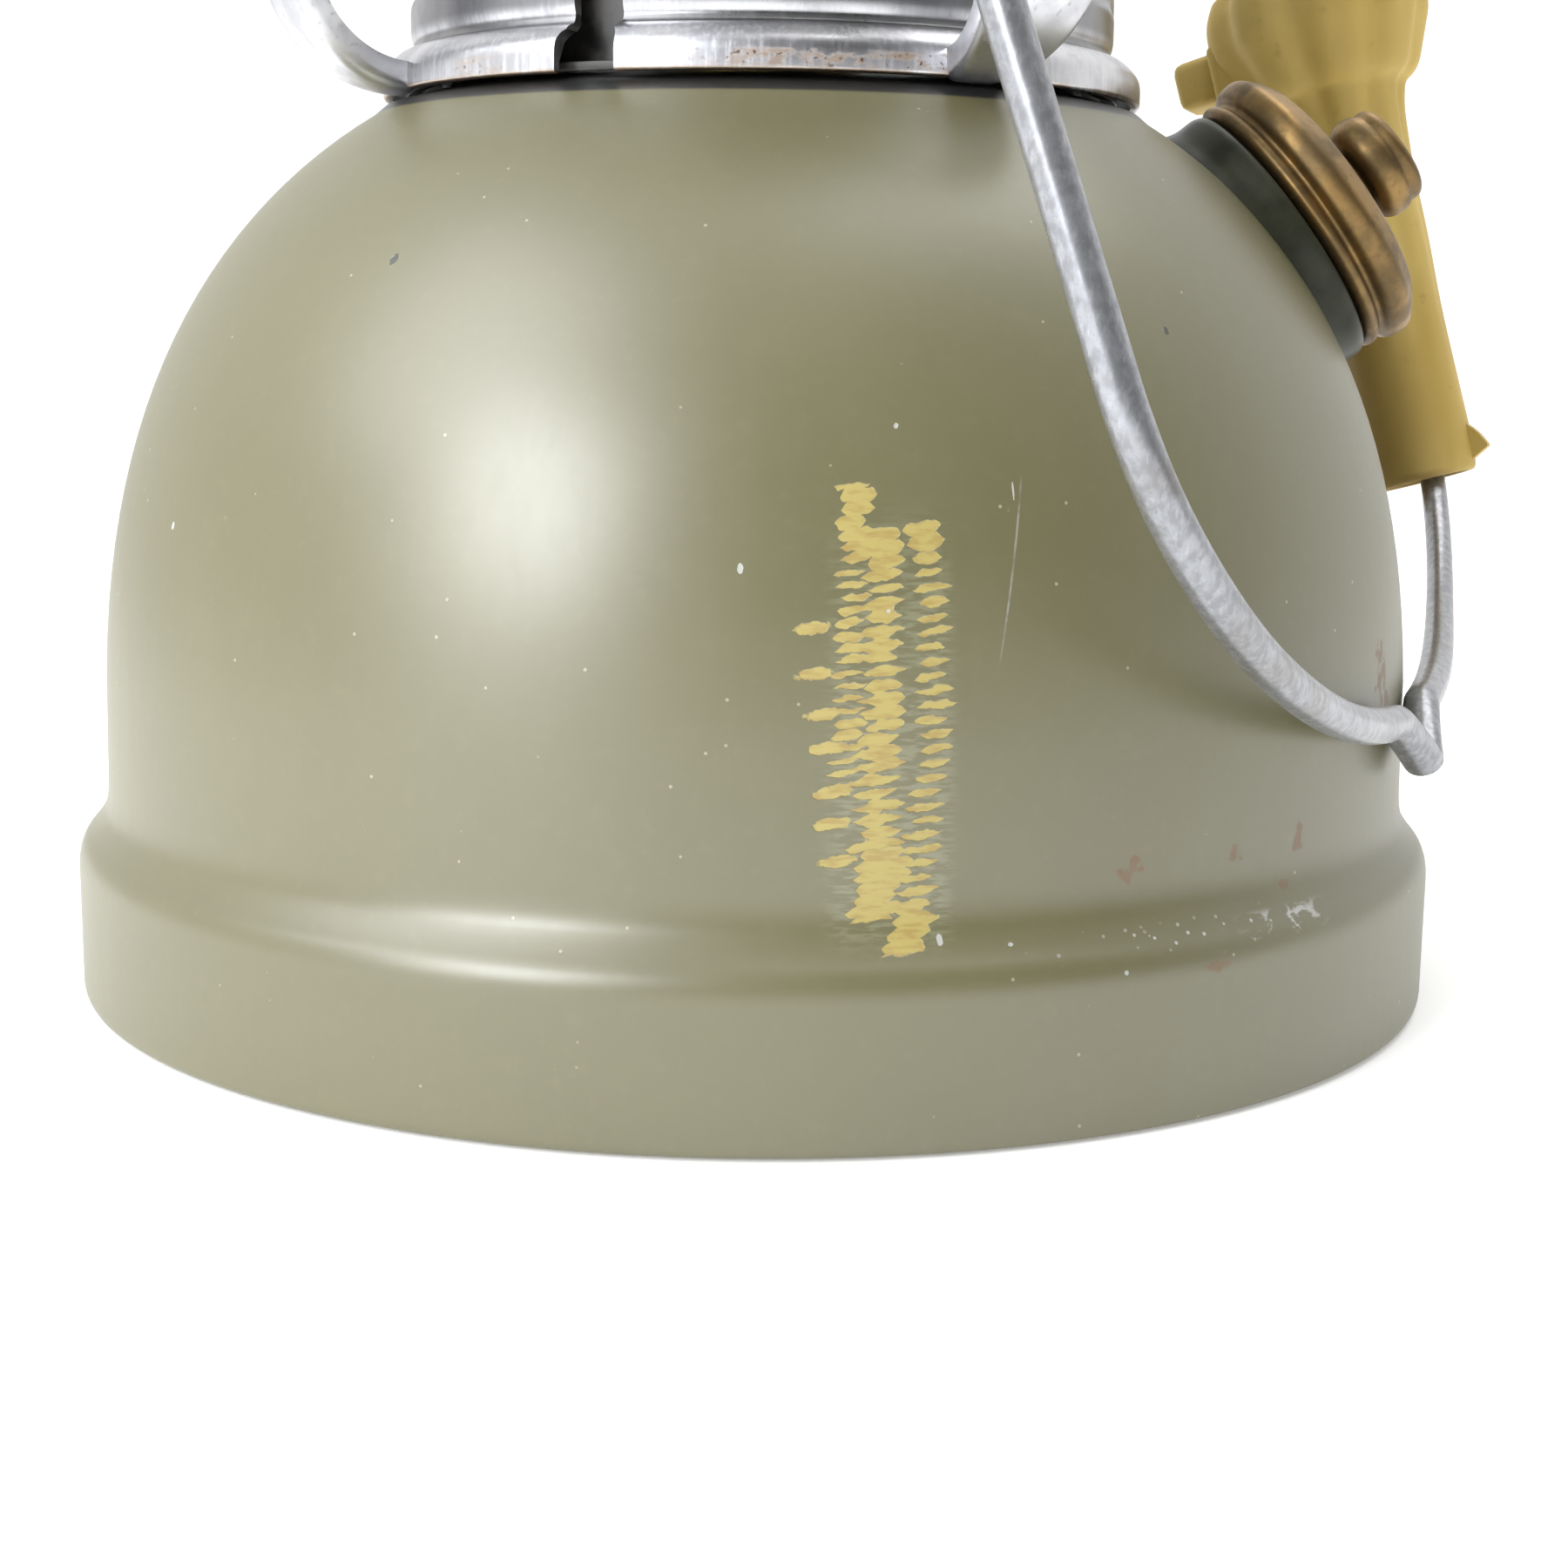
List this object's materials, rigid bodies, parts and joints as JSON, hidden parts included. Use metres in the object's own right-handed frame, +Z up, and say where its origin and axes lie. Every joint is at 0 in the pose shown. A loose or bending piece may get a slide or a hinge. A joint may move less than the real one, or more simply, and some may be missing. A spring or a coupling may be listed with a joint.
{
  "type": "kerosene pressure lantern",
  "caption": "Olive kerosene pressure lantern: round fuel tank with filler cap and pump, chrome cage round a glass globe, vented hood and a swinging wire bail with a yellow sleeve.",
  "frame": {"origin": "middle of the tank's flat bottom, on the surface it stands on", "axes": "+Z up along the lamp, +X towards the filler cap, -Y towards the front"},
  "size_m": [0.1847, 0.1845, 0.346],
  "materials": {
    "olive_paint": "satin olive paint, worn and scratched",
    "chrome": "worn chrome plate with rust specks",
    "galvanised_wire": "dull mottled plated wire",
    "brass": "plain brass",
    "aged_brass": "aged dull brass with polished ridges",
    "steel": "plain steel, heat tinted at the burner",
    "black_enamel": "black enamel",
    "rubber": "black sealing rubber",
    "yellow_plastic": "moulded mustard plastic",
    "globe_glass": "clear heat-resisting glass",
    "mantle_cloth": "burnt-off knitted mantle",
    "ceramic": "unglazed ceramic",
    "bakelite": "dark moulded phenolic",
    "leather": "oiled leather"
  },
  "bodies": {
    "lamp": {"tank_shell": "olive_paint", "base_pan": "olive_paint", "pump_flange": "olive_paint", "hood_skirt": "olive_paint", "hood_cap": "olive_paint", "filler_neck": "brass", "pump_barrel": "brass", "pump_cap": "brass", "pump_check_valve": "brass", "top_boss": "brass", "valve_body": "brass", "gland_nut": "brass", "pickup_tube": "brass", "pickup_strainer": "brass", "preheat_cup": "brass", "vaporiser_tube": "brass", "jet_nipple": "brass", "hood_nut": "brass", "filler_collar": "black_enamel", "heat_shield": "black_enamel", "globe_seat": "black_enamel", "burner_head": "steel", "burner_bridge": "steel", "inner_casing": "steel", "hood_stud": "steel", "mantle": "mantle_cloth", "mantle_support": "ceramic", "globe": "globe_glass", "gallery_ring": "chrome", "guard_strap_1": "chrome", "guard_strap_2": "chrome", "guard_strap_3": "chrome", "guard_strap_4": "chrome", "top_ring": "chrome", "ear_front": "chrome", "ear_rear": "chrome"},
    "bail": {"bail_wire": "galvanised_wire", "bail_grip": "yellow_plastic"},
    "cap_seal": {"cap_gasket": "rubber"},
    "filler_cap": {"filler_cap": "aged_brass"},
    "vent_seal": {"vent_washer": "rubber"},
    "release_screw": {"release_screw": "aged_brass", "release_stem": "aged_brass"},
    "pump": {"pump_rod": "steel", "pump_leather": "leather", "pump_knob": "bakelite"},
    "control": {"control_spindle": "steel", "control_knob": "bakelite"},
    "pricker": {"pricker_rod": "steel"}
  },
  "joints": [
    {"name": "bail_swing", "type": "hinge", "parent": "lamp", "child": "bail", "pos_m": [0, 0, 0.264], "axis": [-0.4067, -0.9135, 0], "range_deg": [0, 317.5]},
    {"name": "cap_lift", "type": "slide", "parent": "lamp", "child": "cap_seal", "axis": [0.7986, 0, 0.6018], "range_m": [0, 0.004]},
    {"name": "cap_turn", "type": "hinge", "parent": "cap_seal", "child": "filler_cap", "pos_m": [0.0612, 0, 0.0887], "axis": [0.7986, 0, 0.6018], "range_deg": [0, 720]},
    {"name": "vent_lift", "type": "slide", "parent": "filler_cap", "child": "vent_seal", "axis": [0.7986, 0, 0.6018], "range_m": [0, 0.0012]},
    {"name": "vent_turn", "type": "hinge", "parent": "vent_seal", "child": "release_screw", "pos_m": [0.0612, 0, 0.0887], "axis": [0.7986, 0, 0.6018], "range_deg": [0, 540]},
    {"name": "pump_stroke", "type": "slide", "parent": "lamp", "child": "pump", "axis": [0.02, 0.5732, 0.8192], "range_m": [0, 0.055]},
    {"name": "control_turn", "type": "hinge", "parent": "lamp", "child": "control", "pos_m": [0, 0, 0.115], "axis": [0.4067, 0.9135, 0], "range_deg": [0, 270]},
    {"name": "pricker_lift", "type": "slide", "parent": "lamp", "child": "pricker", "axis": [0, 0, 1], "range_m": [0, 0.0024]}
  ],
  "couplings": [
    {"joint": "cap_lift", "follows": "cap_turn", "m_per_rad": 0.00031828},
    {"joint": "vent_lift", "follows": "vent_turn", "m_per_rad": 0.00012731},
    {"joint": "pricker_lift", "follows": "control_turn", "m_per_rad": 0.00050924}
  ]
}
